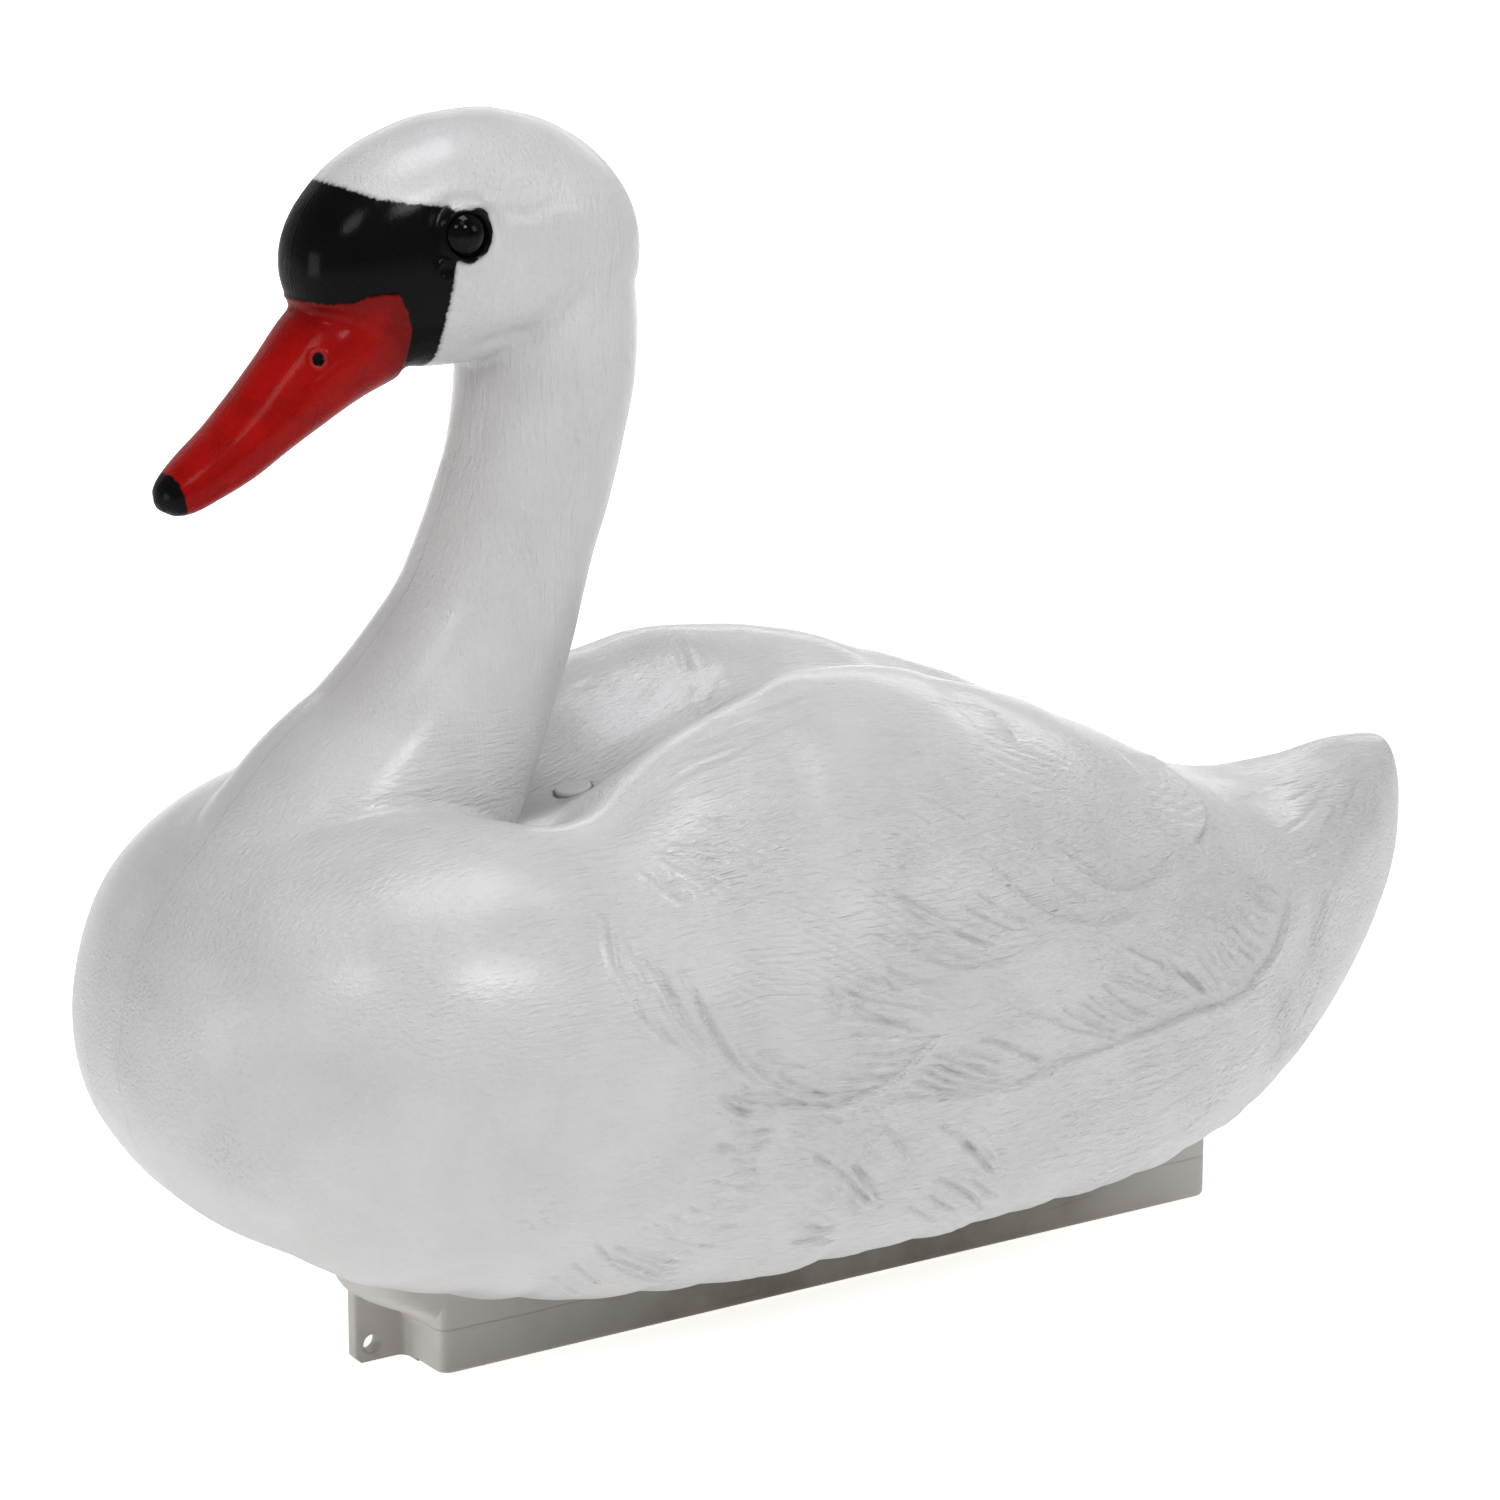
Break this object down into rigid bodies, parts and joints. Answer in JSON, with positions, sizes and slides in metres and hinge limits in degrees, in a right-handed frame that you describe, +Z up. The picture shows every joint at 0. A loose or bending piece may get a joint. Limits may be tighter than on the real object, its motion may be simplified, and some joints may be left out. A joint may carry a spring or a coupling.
{
  "type": "floating swan decoy",
  "caption": "Hollow moulded white swan with a long weighted box keel, a cord hole in a front tab, a threaded ballast plug and a push-in vent plug; floats on water as a decoy.",
  "frame": {"origin": "centre of the keel's flat bottom face, on the plane of symmetry", "axes": "+Z up, the bird faces -Y, its left side is +X"},
  "size_m": [0.3131, 0.65, 0.5162],
  "materials": {
    "shell_white": "satin pearly white moulded polyethylene, with black face and dark red bill paint",
    "keel_plastic": "unpainted translucent off-white polyethylene",
    "sand": "dry sand",
    "screw_steel": "stainless steel",
    "plug_plastic": "unpainted moulded polyethylene",
    "seal_rubber": "black nitrile",
    "vent_plastic": "white moulded polyethylene",
    "eye_black": "gloss black"
  },
  "bodies": {
    "root": {"swan_shell": "shell_white", "keel_shell": "keel_plastic", "ballast_sand": "sand", "keel_screws": "screw_steel", "keel_washers": "screw_steel", "eye_left": "eye_black", "eye_right": "eye_black"},
    "plug_ring": {"plug_oring": "seal_rubber"},
    "plug": {"ballast_plug": "plug_plastic"},
    "vent": {"vent_plug": "vent_plastic"}
  },
  "joints": [
    {"name": "plug_lift", "type": "slide", "parent": "root", "child": "plug_ring", "axis": [0, 1, 0], "range_m": [0, 0.0121]},
    {"name": "plug_turn", "type": "hinge", "parent": "plug_ring", "child": "plug", "pos_m": [0, 0.228, 0.0205], "axis": [0, 1, 0], "range_deg": [0, 1440]},
    {"name": "vent_pull", "type": "slide", "parent": "root", "child": "vent", "axis": [0, -0.19, 0.9818], "range_m": [0, 0.02]}
  ],
  "couplings": [
    {"joint": "plug_lift", "follows": "plug_turn", "m_per_rad": 0.00047746}
  ]
}
